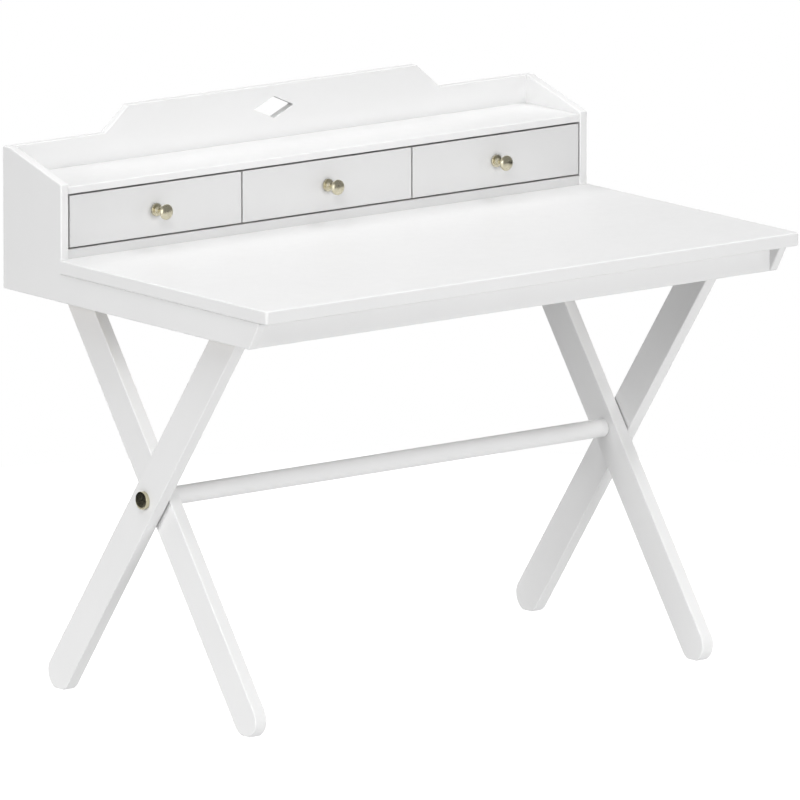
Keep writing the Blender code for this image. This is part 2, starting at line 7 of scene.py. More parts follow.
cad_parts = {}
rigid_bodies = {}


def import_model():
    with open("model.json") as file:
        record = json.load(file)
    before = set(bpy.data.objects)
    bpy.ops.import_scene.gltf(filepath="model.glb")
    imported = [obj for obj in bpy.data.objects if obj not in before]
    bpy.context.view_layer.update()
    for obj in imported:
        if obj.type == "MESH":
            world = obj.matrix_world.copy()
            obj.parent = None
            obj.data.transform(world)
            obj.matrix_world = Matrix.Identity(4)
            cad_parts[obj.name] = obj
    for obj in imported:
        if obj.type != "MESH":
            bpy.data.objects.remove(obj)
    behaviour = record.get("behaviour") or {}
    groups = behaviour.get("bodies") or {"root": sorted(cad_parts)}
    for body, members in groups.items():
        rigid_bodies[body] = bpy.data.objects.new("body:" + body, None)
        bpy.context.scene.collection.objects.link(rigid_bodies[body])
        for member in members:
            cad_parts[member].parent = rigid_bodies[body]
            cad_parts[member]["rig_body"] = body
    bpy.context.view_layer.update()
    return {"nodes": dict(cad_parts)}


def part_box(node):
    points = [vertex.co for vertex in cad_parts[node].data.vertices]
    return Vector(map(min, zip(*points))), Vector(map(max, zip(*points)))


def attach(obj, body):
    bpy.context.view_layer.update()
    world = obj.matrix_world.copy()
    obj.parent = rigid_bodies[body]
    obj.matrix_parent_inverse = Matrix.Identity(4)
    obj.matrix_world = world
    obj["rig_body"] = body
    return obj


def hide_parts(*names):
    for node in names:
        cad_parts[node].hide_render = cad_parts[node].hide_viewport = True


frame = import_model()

nodes = frame["nodes"]
print("frame loaded:", len(nodes), "nodes")


# ---- camera, lamps and floor

camera = {"turn": 38.199, "raise": 11.456, "roll": 0.055, "distance": 25.3167,
          "aim": (0.00304, 0.00699, 0.48101), "lens": 667.16, "sensor": 36, "sight": 200}


def placeCamera(s):
    turn, tilt, roll = (math.radians(s[k]) for k in ("turn", "raise", "roll"))
    back = Vector((-math.sin(turn) * math.cos(tilt), -math.cos(turn) * math.cos(tilt), math.sin(tilt)))
    right = Vector((math.cos(turn), -math.sin(turn), 0))
    up = back.cross(right)
    rightRolled = right * math.cos(roll) + up * math.sin(roll)
    upRolled = up * math.cos(roll) - right * math.sin(roll)
    data = bpy.data.cameras.new("camera")
    data.sensor_width = s["sensor"]
    data.lens = s["lens"]
    data.clip_end = s["sight"]
    eye = bpy.data.objects.new("camera", data)
    bpy.context.scene.collection.objects.link(eye)
    place = Matrix((rightRolled, upRolled, back)).transposed().to_4x4()
    place.translation = Vector(s["aim"]) + back * s["distance"]
    eye.matrix_world = place
    bpy.context.scene.camera = eye


placeCamera(camera)
bpy.context.scene.view_settings.view_transform = "Standard"

studio = {"sky": 0.02, "roomMirrored": 0.38, "backdropMirrored": 0.70, "softboxMirrored": 2.8,
          "softbox": (-0.84, -0.53, 0.10), "softboxWide": 36, "softboxCore": 10,
          "backdropFrom": 0.0, "backdropTo": 0.6, "horizonFrom": -0.03, "horizonTo": 0.02}


def wire(tree, *pairs):
    for a, b in pairs:
        tree.links.new(a, b)


def ease(tree, value, low, high, newLow, newHigh):
    node = tree.nodes.new("ShaderNodeMapRange")
    node.interpolation_type = "SMOOTHSTEP"
    for label, number in (("From Min", low), ("From Max", high), ("To Min", newLow), ("To Max", newHigh)):
        node.inputs[label].default_value = number
    tree.links.new(value, node.inputs["Value"])
    return node.outputs[0]


def makeSky(s):
    # white behind everything; polished metal sees a dim room, the pale backdrop and one round softbox
    world = bpy.data.worlds.new("studio")
    bpy.context.scene.world = world
    world.use_nodes = True
    tree = world.node_tree
    tree.nodes.clear()
    out = tree.nodes.new("ShaderNodeOutputWorld")
    path = tree.nodes.new("ShaderNodeLightPath")
    white, soft, mirrored = (tree.nodes.new("ShaderNodeBackground") for _ in range(3))
    for background, strength in ((white, 1.0), (soft, s["sky"])):
        background.inputs["Color"].default_value = (1, 1, 1, 1)
        background.inputs["Strength"].default_value = strength
    where = tree.nodes.new("ShaderNodeTexCoord")
    split = tree.nodes.new("ShaderNodeSeparateXYZ")
    facing = tree.nodes.new("ShaderNodeVectorMath")
    facing.operation = "DOT_PRODUCT"
    facing.inputs[1].default_value = Vector(s["softbox"]).normalized()
    wire(tree, (where.outputs["Generated"], split.inputs[0]), (where.outputs["Generated"], facing.inputs[0]))
    room = ease(tree, split.outputs["Y"], s["backdropFrom"], s["backdropTo"], s["roomMirrored"],
                s["backdropMirrored"])
    above = ease(tree, split.outputs["Z"], s["horizonFrom"], s["horizonTo"], 0.0, 1.0)
    softbox = ease(tree, facing.outputs["Value"], math.cos(math.radians(s["softboxWide"])),
                   math.cos(math.radians(s["softboxCore"])), 0.0, s["softboxMirrored"])
    total = tree.nodes.new("ShaderNodeMath")
    total.operation = "MULTIPLY_ADD"
    first, last = tree.nodes.new("ShaderNodeMixShader"), tree.nodes.new("ShaderNodeMixShader")
    wire(tree, (room, total.inputs[0]), (above, total.inputs[1]), (softbox, total.inputs[2]),
         (total.outputs[0], mirrored.inputs["Strength"]), (path.outputs["Is Glossy Ray"], first.inputs[0]),
         (soft.outputs[0], first.inputs[1]), (mirrored.outputs[0], first.inputs[2]),
         (path.outputs["Is Camera Ray"], last.inputs[0]), (first.outputs[0], last.inputs[1]),
         (white.outputs[0], last.inputs[2]), (last.outputs[0], out.inputs["Surface"]))


makeSky(studio)

# each soft round lamp: degrees round from the front towards the right, degrees up, and watts
lamps = {"distance": 4.5, "width": 1.6, "aim": (0, 0, 0.5), "lowest": 0.85, "rows": [
    (0, 8, 118), (270, 13, 110), (90, 65, 89), (270, 65, 50), (180, 65, 44), (315, 35, 48), (45, 8, 25),
    (0, 65, 16), (180, 12, 66), (90, 8, 22)]}


def hangLamps(s):
    for degreesRound, degreesUp, power in s["rows"]:
        data = bpy.data.lights.new("lamp", "AREA")
        data.shape = "DISK"
        data.size = s["width"]
        data.energy = power
        a, e = math.radians(degreesRound), math.radians(degreesUp)
        aim = Vector(s["aim"])
        lamp = bpy.data.objects.new("lamp", data)
        heading = Vector((math.sin(a) * math.cos(e), -math.cos(a) * math.cos(e), math.sin(e)))
        lamp.location = aim + s["distance"] * heading
        lamp.location.z = max(lamp.location.z, s["lowest"])
        lamp.rotation_euler = (aim - lamp.location).to_track_quat("-Z", "Y").to_euler()
        lamp.visible_glossy = False  # the sky holds what polished parts mirror
        bpy.context.scene.collection.objects.link(lamp)


hangLamps(lamps)

# glow is what the paper gives off, and lift what it adds where the camera sees it directly
floorPaper = {"radius": 1.9, "rings": 24, "spokes": 96, "colour": 0.09, "drop": 0.0005, "glow": 0.76,
              "lift": 0.30, "roughness": 0.9, "shine": 0.1}


def layFloor(s):
    # disc: radius grows ring by ring, and each ring is a circle
    r = np.linspace(0, s["radius"], s["rings"])[1:]
    a = np.linspace(0, 2 * np.pi, s["spokes"], endpoint=False)
    level = np.full((len(r), len(a)), -s["drop"])
    grid = np.stack([r[:, None] * np.cos(a), r[:, None] * np.sin(a), level], -1)
    points = np.vstack([[[0, 0, -s["drop"]]], grid.reshape(-1, 3)])
    n = s["spokes"]
    i = np.arange(n)
    j = (i + 1) % n
    fan = np.stack([0 * i, 1 + i, 1 + j], 1).tolist()
    k = 1 + n * np.arange(len(r) - 1)[:, None]
    bands = np.stack([k + i, k + n + i, k + n + j, k + j], -1).reshape(-1, 4).tolist()
    mesh = bpy.data.meshes.new("floor")
    mesh.from_pydata(points, [], fan + bands)
    floor = bpy.data.objects.new("floor", mesh)
    bpy.context.scene.collection.objects.link(floor)
    paper = bpy.data.materials.new("floor paper")
    paper.use_nodes = True
    tree = paper.node_tree
    shader = tree.nodes["Principled BSDF"]
    shader.inputs["Base Color"].default_value = (s["colour"],) * 3 + (1,)
    shader.inputs["Roughness"].default_value = s["roughness"]
    shader.inputs["Specular IOR Level"].default_value = s["shine"]
    shader.inputs["Emission Color"].default_value = (1, 1, 1, 1)
    path = tree.nodes.new("ShaderNodeLightPath")
    lift = tree.nodes.new("ShaderNodeMath")
    lift.operation = "MULTIPLY_ADD"
    lift.inputs[1].default_value = s["lift"]
    lift.inputs[2].default_value = s["glow"]
    wire(tree, (path.outputs["Is Camera Ray"], lift.inputs[0]),
         (lift.outputs[0], shader.inputs["Emission Strength"]))
    mesh.materials.append(paper)


layFloor(floorPaper)
print("camera, lamps and floor placed")


# ---- shared surface effects

def newGroup(name, inputs, outputs):
    group = bpy.data.node_groups.new(name, "ShaderNodeTree")
    for label, kind, start in inputs:
        socket = group.interface.new_socket(name=label, in_out="INPUT", socket_type=kind)
        if start is not None:
            socket.default_value = start
    for label, kind in outputs:
        group.interface.new_socket(name=label, in_out="OUTPUT", socket_type=kind)
    return group, group.nodes.new("NodeGroupInput"), group.nodes.new("NodeGroupOutput")


def noise(tree, scale, detail, rough, vector):
    node = tree.nodes.new("ShaderNodeTexNoise")
    node.inputs["Scale"].default_value = scale
    node.inputs["Detail"].default_value = detail
    node.inputs["Roughness"].default_value = rough
    tree.links.new(vector, node.inputs["Vector"])
    return node.outputs["Fac"]


def math2(tree, operation, a, b, clamp=False):
    node = tree.nodes.new("ShaderNodeMath")
    node.operation = operation
    node.use_clamp = clamp
    for socket, value in ((node.inputs[0], a), (node.inputs[1], b)):
        if isinstance(value, (int, float)):
            socket.default_value = value
        else:
            tree.links.new(value, socket)
    return node.outputs[0]


def spread(tree, value, low, high, newLow, newHigh):
    node = tree.nodes.new("ShaderNodeMapRange")
    for label, number in (("From Min", low), ("From Max", high), ("To Min", newLow), ("To Max", newHigh)):
        if isinstance(number, (int, float)):
            node.inputs[label].default_value = number
        else:
            tree.links.new(number, node.inputs[label])
    tree.links.new(value, node.inputs["Value"])
    return node.outputs[0]


def blendColours(tree, share, a, b, how="MIX"):
    node = tree.nodes.new("ShaderNodeMix")
    node.data_type = "RGBA"
    node.blend_type = how
    for socket, value in ((node.inputs[0], share), (node.inputs[6], a), (node.inputs[7], b)):
        if isinstance(value, (int, float)):
            socket.default_value = value
        elif isinstance(value, tuple):
            socket.default_value = value + (1,)
        else:
            tree.links.new(value, socket)
    return node.outputs[2]


def stretch(tree, vector, scale, turn=(0, 0, 0)):
    node = tree.nodes.new("ShaderNodeMapping")
    node.inputs["Scale"].default_value = scale
    node.inputs["Rotation"].default_value = turn
    tree.links.new(vector, node.inputs["Vector"])
    return node.outputs[0]


# noises are scale, detail and roughness; ranges are low and high
film = {"peel": (380, 1.0, 0.4), "slow": (9, 3.0, 0.55), "cloud": (42, 2.0, 0.5), "nibScale": 160,
        "nibSize": 0.09, "edge": (120, 3.0, 0.6), "edgeRange": (0.45, 0.75), "toneRange": (0.3, 0.7),
        "toneLow": 0.985, "cloudGloss": 0.6, "peelGloss": 0.4, "glossRange": (0.3, 0.7), "peelHeight": 0.55,
        "slowHeight": 1.6, "nibHeight": 0.25}


def paintGroup(s):
    # sprayed film: fine peel, slow unevenness, a few dust nibs, and a thinner, smoother film over the arrises
    group, into, out = newGroup(
        "paint film",
        [("Vector", "NodeSocketVector", None), ("Paint", "NodeSocketColor", (0.8, 0.8, 0.8, 1)),
         ("Under", "NodeSocketColor", (0.8, 0.7, 0.6, 1)), ("Edge", "NodeSocketFloat", 0.0),
         ("Wear", "NodeSocketFloat", 0.1), ("Gloss Low", "NodeSocketFloat", 0.3),
         ("Gloss High", "NodeSocketFloat", 0.4)],
        [("Color", "NodeSocketColor"), ("Roughness", "NodeSocketFloat"), ("Height", "NodeSocketFloat")])
    t = group
    where = into.outputs["Vector"]
    peel, slow, cloud = (noise(t, *s[k], where) for k in ("peel", "slow", "cloud"))
    nib = t.nodes.new("ShaderNodeTexVoronoi")
    nib.inputs["Scale"].default_value = s["nibScale"]
    t.links.new(where, nib.inputs["Vector"])
    nibs = spread(t, nib.outputs["Distance"], 0.0, s["nibSize"], 1.0, 0.0)
    edgeNoise = noise(t, *s["edge"], where)
    worn = math2(t, "MULTIPLY", into.outputs["Edge"], spread(t, edgeNoise, *s["edgeRange"], 0.0, 1.0))
    worn = math2(t, "MULTIPLY", worn, into.outputs["Wear"], True)
    tone = spread(t, slow, *s["toneRange"], s["toneLow"], 1.0)
    shade = blendColours(t, tone, (0, 0, 0), (1, 1, 1))
    painted = blendColours(t, 1.0, into.outputs["Paint"], shade, "MULTIPLY")
    wire(t, (blendColours(t, worn, painted, into.outputs["Under"]), out.inputs["Color"]))
    glossMask = math2(t, "ADD", math2(t, "MULTIPLY", cloud, s["cloudGloss"]),
                      math2(t, "MULTIPLY", peel, s["peelGloss"]))
    gloss = spread(t, glossMask, *s["glossRange"], into.outputs["Gloss Low"], into.outputs["Gloss High"])
    wire(t, (gloss, out.inputs["Roughness"]))
    height = math2(t, "ADD", math2(t, "MULTIPLY", peel, s["peelHeight"]),
                   math2(t, "MULTIPLY", slow, s["slowHeight"]))
    height = math2(t, "ADD", height, math2(t, "MULTIPLY", nibs, s["nibHeight"]))
    wire(t, (height, out.inputs["Height"]))
    return group


# stretches run along, across and across the board
grain = {"warp": (6, 2.0, 0.5), "warpStretch": (1, 3, 3), "bend": (0.0, 0.03, 0.03), "rings": (1, 3.0, 0.62),
         "ringStretch": (3.5, 150, 150), "broad": (1, 2.0, 0.5), "broadStretch": (1.4, 26, 26),
         "fleck": (1, 1.0, 0.4), "fleckStretch": (60, 1500, 1500), "poreRange": (0.62, 0.78), "ringShare": 0.6,
         "broadShare": 0.4, "figureRange": (0.38, 0.64), "poreColour": 0.45, "roughPale": 0.62,
         "roughDark": 0.5, "ringHeight": 0.5, "poreHeight": 0.8}


def grainGroup(s):
    # length of the board along the vector's X: rings are noise stretched along it, pores are short thin dashes
    group, into, out = newGroup(
        "wood grain",
        [("Vector", "NodeSocketVector", None), ("Pale", "NodeSocketColor", (0.8, 0.7, 0.5, 1)),
         ("Dark", "NodeSocketColor", (0.6, 0.5, 0.3, 1)), ("Pore", "NodeSocketColor", (0.4, 0.3, 0.2, 1)),
         ("Figure", "NodeSocketFloat", 1.0)],
        [("Color", "NodeSocketColor"), ("Roughness", "NodeSocketFloat"), ("Height", "NodeSocketFloat")])
    t = group
    where = into.outputs["Vector"]
    warp = noise(t, *s["warp"], stretch(t, where, s["warpStretch"]))
    bent = t.nodes.new("ShaderNodeVectorMath")
    bent.operation = "MULTIPLY_ADD"
    bent.inputs[1].default_value = s["bend"]
    wire(t, (warp, bent.inputs[0]), (where, bent.inputs[2]))
    rings = noise(t, *s["rings"], stretch(t, bent.outputs[0], s["ringStretch"]))
    broad = noise(t, *s["broad"], stretch(t, bent.outputs[0], s["broadStretch"]))
    fleck = noise(t, *s["fleck"], stretch(t, where, s["fleckStretch"]))
    pores = spread(t, fleck, *s["poreRange"], 0.0, 1.0)
    lines = math2(t, "ADD", math2(t, "MULTIPLY", rings, s["ringShare"]),
                  math2(t, "MULTIPLY", broad, s["broadShare"]))
    figure = spread(t, lines, *s["figureRange"], 0.0, 1.0)
    figure = math2(t, "MULTIPLY", figure, into.outputs["Figure"], True)
    wood = blendColours(t, figure, into.outputs["Pale"], into.outputs["Dark"])
    poreShare = math2(t, "MULTIPLY", pores, s["poreColour"])
    height = math2(t, "SUBTRACT", math2(t, "MULTIPLY", rings, s["ringHeight"]),
                   math2(t, "MULTIPLY", pores, s["poreHeight"]))
    wire(t, (blendColours(t, poreShare, wood, into.outputs["Pore"]), out.inputs["Color"]),
         (spread(t, figure, 0.0, 1.0, s["roughPale"], s["roughDark"]), out.inputs["Roughness"]),
         (height, out.inputs["Height"]))
    return group


turnedMetal = {"lineScale": 9000, "lineDetail": 2, "smudge": (160, 3.0, 0.6), "fine": (2600, 2.0, 0.6),
               "agedRange": (0.42, 0.68), "smudgeShare": 0.7, "fineShare": 0.3, "glossRange": (0.3, 0.7),
               "lineHeight": 0.7, "fineHeight": 0.3}


def metalGroup(s):
    # turning lines follow the distance along the profile, smudges and fine scratches follow the place
    group, into, out = newGroup(
        "worked metal",
        [("Vector", "NodeSocketVector", None), ("Along", "NodeSocketFloat", 0.0),
         ("Metal", "NodeSocketColor", (0.8, 0.7, 0.5, 1)),
         ("Tarnish", "NodeSocketColor", (0.5, 0.4, 0.2, 1)), ("Aged", "NodeSocketFloat", 0.3),
         ("Gloss Low", "NodeSocketFloat", 0.1), ("Gloss High", "NodeSocketFloat", 0.3)],
        [("Color", "NodeSocketColor"), ("Roughness", "NodeSocketFloat"), ("Height", "NodeSocketFloat")])
    t = group
    lines = t.nodes.new("ShaderNodeTexNoise")
    lines.noise_dimensions = "1D"
    lines.inputs["Scale"].default_value = s["lineScale"]
    lines.inputs["Detail"].default_value = s["lineDetail"]
    wire(t, (into.outputs["Along"], lines.inputs["W"]))
    smudge = noise(t, *s["smudge"], into.outputs["Vector"])
    fine = noise(t, *s["fine"], into.outputs["Vector"])
    aged = math2(t, "MULTIPLY", spread(t, smudge, *s["agedRange"], 0.0, 1.0), into.outputs["Aged"], True)
    wire(t, (blendColours(t, aged, into.outputs["Metal"], into.outputs["Tarnish"]), out.inputs["Color"]))
    mask = math2(t, "ADD", math2(t, "MULTIPLY", smudge, s["smudgeShare"]),
                 math2(t, "MULTIPLY", fine, s["fineShare"]))
    gloss = spread(t, mask, *s["glossRange"], into.outputs["Gloss Low"], into.outputs["Gloss High"])
    height = math2(t, "ADD", math2(t, "MULTIPLY", lines.outputs["Fac"], s["lineHeight"]),
                   math2(t, "MULTIPLY", fine, s["fineHeight"]))
    wire(t, (gloss, out.inputs["Roughness"]), (height, out.inputs["Height"]))
    return group


groups = {"paint": paintGroup(film), "grain": grainGroup(grain), "metal": metalGroup(turnedMetal)}


def startMaterial(name, kind, values, relief):
    material = bpy.data.materials.new(name)
    material.use_nodes = True
    tree = material.node_tree
    shader = tree.nodes["Principled BSDF"]
    effect = tree.nodes.new("ShaderNodeGroup")
    effect.node_tree = groups[kind]
    for label, value in values.items():
        effect.inputs[label].default_value = value + (1,) if isinstance(value, tuple) else value
    bump = tree.nodes.new("ShaderNodeBump")
    bump.inputs["Strength"].default_value = relief["strength"]
    bump.inputs["Distance"].default_value = relief["distance"]
    wire(tree, (effect.outputs["Color"], shader.inputs["Base Color"]),
         (effect.outputs["Roughness"], shader.inputs["Roughness"]),
         (effect.outputs["Height"], bump.inputs["Height"]), (bump.outputs[0], shader.inputs["Normal"]))
    where = tree.nodes.new("ShaderNodeTexCoord")
    return material, tree, shader, effect, where.outputs["Object"]


def readMark(tree, name, socket):
    mark = tree.nodes.new("ShaderNodeAttribute")
    mark.attribute_name = name
    tree.links.new(mark.outputs["Fac"], socket)


paintFinish = {"Paint": (0.705, 0.705, 0.705), "Under": (0.63, 0.62, 0.605), "Wear": 0.08, "Gloss Low": 0.34,
               "Gloss High": 0.44}
# a darker grey coat for the drawer fronts and the hutch floor: painted shade standing in for the shade that
# falls near the desktop
shadedDrawerPaintFinish = {**paintFinish, "Paint": (0.612, 0.612, 0.612)}
paintRelief = {"strength": 0.25, "distance": 0.00006}
woodRelief = {"strength": 0.5, "distance": 0.00025}
brassRelief = {"strength": 0.05, "distance": 0.00002}
zincRelief = {"strength": 0.15, "distance": 0.00002}


def makePaint(name, finish):
    material, tree, shader, effect, where = startMaterial(name, "paint", finish, paintRelief)
    tree.links.new(where, effect.inputs["Vector"])
    readMark(tree, "edge", effect.inputs["Edge"])
    return material


birchFinish = {"Pale": (0.68, 0.575, 0.44), "Dark": (0.56, 0.44, 0.305), "Pore": (0.33, 0.23, 0.14),
               "Figure": 0.8}
veneerFinish = {"Pale": (0.70, 0.585, 0.43), "Dark": (0.60, 0.47, 0.32), "Pore": (0.40, 0.29, 0.19),
                "Figure": 0.55}
veneerStretch = (1, 0.35, 1)  # peeled veneer shows wider figure across


def makeWood(name, finish, turn, scale=(1, 1, 1)):
    material, tree, shader, effect, where = startMaterial(name, "grain", finish, woodRelief)
    tree.links.new(stretch(tree, where, scale, turn), effect.inputs["Vector"])
    return material


def makeMetal(name, finish, relief):
    material, tree, shader, effect, where = startMaterial(name, "metal", finish, relief)
    shader.inputs["Metallic"].default_value = 1.0
    tree.links.new(where, effect.inputs["Vector"])
    readMark(tree, "along", effect.inputs["Along"])
    return material


brassFinish = {"Metal": (0.70, 0.655, 0.50), "Tarnish": (0.56, 0.51, 0.36), "Aged": 0.3, "Gloss Low": 0.25,
               "Gloss High": 0.31}
capFinish = {**brassFinish, "Metal": (0.62, 0.58, 0.42), "Gloss Low": 0.10, "Gloss High": 0.16}
zincFinish = {"Metal": (0.66, 0.66, 0.67), "Tarnish": (0.52, 0.52, 0.50), "Aged": 0.5, "Gloss Low": 0.28,
              "Gloss High": 0.42}

quarter = math.pi / 2
finishes = {
    "paint": makePaint("white paint", paintFinish),
    "drawerPaint": makePaint("white drawer paint", shadedDrawerPaintFinish),
    "birchX": makeWood("birch along the desk", birchFinish, (0, 0, 0)),
    "birchY": makeWood("birch front to back", birchFinish, (0, 0, -quarter)),
    "veneer": makeWood("birch plywood", veneerFinish, (0, 0, 0), veneerStretch),
    "brass": makeMetal("pale brass", brassFinish, brassRelief),
    "capBrass": makeMetal("bright brass", capFinish, brassRelief),
    "zinc": makeMetal("zinc plate", zincFinish, zincRelief),
}
print("finishes made:", ", ".join(finishes))


# ---- mesh helpers

def addPiece(name, points, faces, loopNormals, marks, finish, replaced):
    mesh = bpy.data.meshes.new(name)
    mesh.from_pydata(points, [], faces)
    mesh.validate()
    for label, values in marks.items():
        mesh.attributes.new(label, "FLOAT", "POINT").data.foreach_set("value", np.asarray(values, np.float32))
    mesh.shade_smooth()
    if loopNormals is not None:
        mesh.normals_split_custom_set(loopNormals)
    else:
        mesh.set_sharp_from_angle(angle=bends["sharpFrom"])
    mesh.materials.append(finishes[finish])
    piece = bpy.data.objects.new(name, mesh)
    bpy.context.scene.collection.objects.link(piece)
    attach(piece, nodes[replaced]["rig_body"])
    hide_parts(replaced)
    return piece


# the least turn that is rounded, the inward turn that leaves a crease, and where lathed edges are sharp
bends = {"arcFrom": math.radians(20), "creaseFrom": math.radians(-5), "sharpFrom": math.radians(40)}


def softPath(corners, radius, steps):
    # A closed outline, walked with the board on its left. Each sharp outward corner becomes an arc: the arc's
    # centre plus radius times a normal that turns from one side's normal to the next. Gentle corners keep one
    # point with the normal between, and inward corners one point with a crease.
    corners = np.asarray(corners, float)
    radius = np.broadcast_to(np.asarray(radius, float), len(corners))[:, None]
    into = corners - np.roll(corners, 1, 0)
    away = np.roll(corners, -1, 0) - corners
    into /= np.linalg.norm(into, axis=1)[:, None]
    away /= np.linalg.norm(away, axis=1)[:, None]
    turn = np.arctan2(into[:, 0] * away[:, 1] - into[:, 1] * away[:, 0], (into * away).sum(1))
    n1 = np.stack([into[:, 1], -into[:, 0]], 1)
    n2 = np.stack([away[:, 1], -away[:, 0]], 1)
    mitre = (n1 + n2) / (1 + (n1 * n2).sum(1))[:, None]
    share = np.linspace(0, 1, steps + 1)
    swing = turn[:, None] * share[None]
    c, s = np.cos(swing), np.sin(swing)
    normal = np.stack([n1[:, :1] * c - n1[:, 1:] * s, n1[:, :1] * s + n1[:, 1:] * c], -1)
    arc = (corners - mitre * radius)[:, None] + normal * radius[:, :, None]
    isArc = turn > bends["arcFrom"]
    isCrease = turn < bends["creaseFrom"]
    keep = np.ones(swing.shape, bool)
    keep[~isArc, 1:] = False
    single = normal.copy()
    single[:, 0] = (n1 + n2) / np.linalg.norm(n1 + n2, axis=1)[:, None]
    place = np.where(isArc[:, None, None], arc, corners[:, None])
    before = np.where(isArc[:, None, None], normal, single)
    after = before.copy()
    before[isCrease, 0] = n1[isCrease]
    after[isCrease, 0] = n2[isCrease]
    inset = np.where(isArc[:, None, None], normal, mitre[:, None])
    bend = np.where(isArc[:, None], np.sin(np.pi * share)[None], 0.0)
    owner = np.repeat(np.arange(len(corners))[:, None], steps + 1, 1)
    return tuple(a[keep] for a in (place, before, after, inset, bend, owner))


def boardSurface(path, low, high, radius, steps):
    # Rings up the board's edge: inset is radius times (1 - cos a) and height eases from each face by
    # radius times (1 - |sin a|), with a going from -90 to 90 degrees and the flat edge between.
    place, before, after, inset, bend, owner = path
    r = radius[owner] if np.ndim(radius) else np.full(len(place), radius)
    a = np.concatenate([np.linspace(-quarter, 0, steps + 1), np.linspace(0, quarter, steps + 1)])
    below = np.arange(len(a)) <= steps
    height = np.where(below[:, None], low + r[None] * (1 + np.sin(a))[:, None],
                      high - r[None] * (1 - np.sin(a))[:, None])
    flat = place[None] - inset[None] * (r[None] * (1 - np.cos(a))[:, None])[..., None]
    points = np.concatenate([flat, height[..., None]], 2)
    edge = np.maximum(np.abs(np.sin(2 * a))[:, None] * np.ones(len(place)), bend[None] * np.cos(a)[:, None])
    m, n = len(a), len(place)
    i = np.arange(n)
    j = (i + 1) % n
    k = np.arange(m - 1)[:, None]
    quads = np.stack([k * n + i, k * n + j, (k + 1) * n + j, (k + 1) * n + i], -1)

    def lean(flatNormal, angle):
        upward = np.repeat(np.sin(angle)[:, None, None], n, 1)
        return np.concatenate([flatNormal * np.cos(angle)[:, None, None], upward], 2)

    lower, upper = a[:-1], a[1:]
    normals = np.stack([lean(after[None], lower), lean(before[j][None], lower),
                        lean(before[j][None], upper), lean(after[None], upper)], 2)
    return points, quads, normals, edge


def axesOf(axis):
    rest = [k for k in range(3) if k != axis]
    return rest, -1 if axis == 1 else 1  # x then z turns the other way round y


def titled(node):
    return node.replace("_", " ").title().replace(" ", "_")


def board(name, outline, axis, low, high, s, finish, replaced, hole=None):
    rest, hand = axesOf(axis)
    outer = np.asarray(outline, float)
    corner, radius = (np.broadcast_to(np.asarray(s[k], float), len(outer)) for k in ("corner", "radius"))
    area = (outer[:, 0] * np.roll(outer[:, 1], -1) - outer[:, 1] * np.roll(outer[:, 0], -1)).sum()
    if area < 0:
        outer, corner, radius = outer[::-1], corner[::-1], radius[::-1]
    path = softPath(outer, corner, s["steps"])
    points, quads, normals, edge = boardSurface(path, low, high, radius, s["steps"])
    m, n = points.shape[:2]
    flatPoints, marks = [points.reshape(-1, 3)], [edge.ravel()]
    faces = quads.reshape(-1, 4).tolist()
    loops = [normals.reshape(-1, 3)]
    bottom, top = np.arange(n), (m - 1) * n + np.arange(n)
    if hole is None:
        caps = [bottom[::-1], top]
        sides = [-1.0, 1.0]
    else:
        inner = np.asarray(hole, float)  # listed from its top corner, with the board on its left
        holePath = softPath(inner, 0.0, s["steps"])
        hp, hq, hn, he = boardSurface(holePath, low, high, s["holeRadius"], s["steps"])
        start = m * n
        flatPoints.append(hp.reshape(-1, 3))
        marks.append(he.ravel())
        faces += (hq.reshape(-1, 4) + start).tolist()
        loops.append(hn.reshape(-1, 3))
        h = hp.shape[1]
        where = path[0]
        middle = inner[0, 0]
        onMiddle = np.abs(where[:, 0] - middle) < 1e-9
        foot = int(np.argmin(np.where(onMiddle, where[:, 1], 9)))
        crown = int(np.argmax(np.where(onMiddle, where[:, 1], -9)))
        first = np.arange(foot, foot + (crown - foot) % n + 1) % n
        second = np.arange(crown, crown + (foot - crown) % n + 1) % n
        half = h // 2
        one = np.arange(0, half + 1)
        two = np.arange(half, h + 1) % h
        caps, sides = [], []
        for ring, holeRing, side in ((0, start, -1.0), ((m - 1) * n, start + (hp.shape[0] - 1) * h, 1.0)):
            for outerPart, innerPart in ((first, one), (second, two)):
                cap = np.concatenate([ring + outerPart, holeRing + innerPart])
                caps.append(cap if side > 0 else cap[::-1])
                sides.append(side)
    for cap, side in zip(caps, sides):
        faces.append(cap.tolist())
        loops.append(np.tile([0, 0, side], (len(cap), 1)))
    xyz, loopNormals = np.vstack(flatPoints), np.vstack(loops)
    world, worldNormals = np.empty_like(xyz), np.empty_like(loopNormals)
    for target, source in ((world, xyz), (worldNormals, loopNormals)):
        target[:, rest[0]], target[:, rest[1]], target[:, axis] = source[:, 0], source[:, 1], source[:, 2]
    if hand < 0:
        sizes = [len(f) for f in faces]
        ends = np.cumsum(sizes)
        order = np.concatenate([np.arange(e - 1, e - z - 1, -1) for e, z in zip(ends, sizes)])
        worldNormals = worldNormals[order]
        faces = [f[::-1] for f in faces]
    return addPiece(name, world, faces, worldNormals, {"edge": np.concatenate(marks)}, finish, replaced)


def plank(node, s, finish, axis=2):
    # a square-edged board with the node's own corners, or a little past them where a joint has to close
    lowest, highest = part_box(node)
    rest, _ = axesOf(axis)
    a, b = rest
    ends, back, under = s.get("reach", (0, 0, 0))
    lowest[axis] -= ends
    highest[axis] += ends
    highest.y += back
    lowest.z -= under
    outline = [(lowest[a], lowest[b]), (highest[a], lowest[b]), (highest[a], highest[b]),
               (lowest[a], highest[b])]
    return board(titled(node), outline, axis, lowest[axis], highest[axis], s, finish, node)


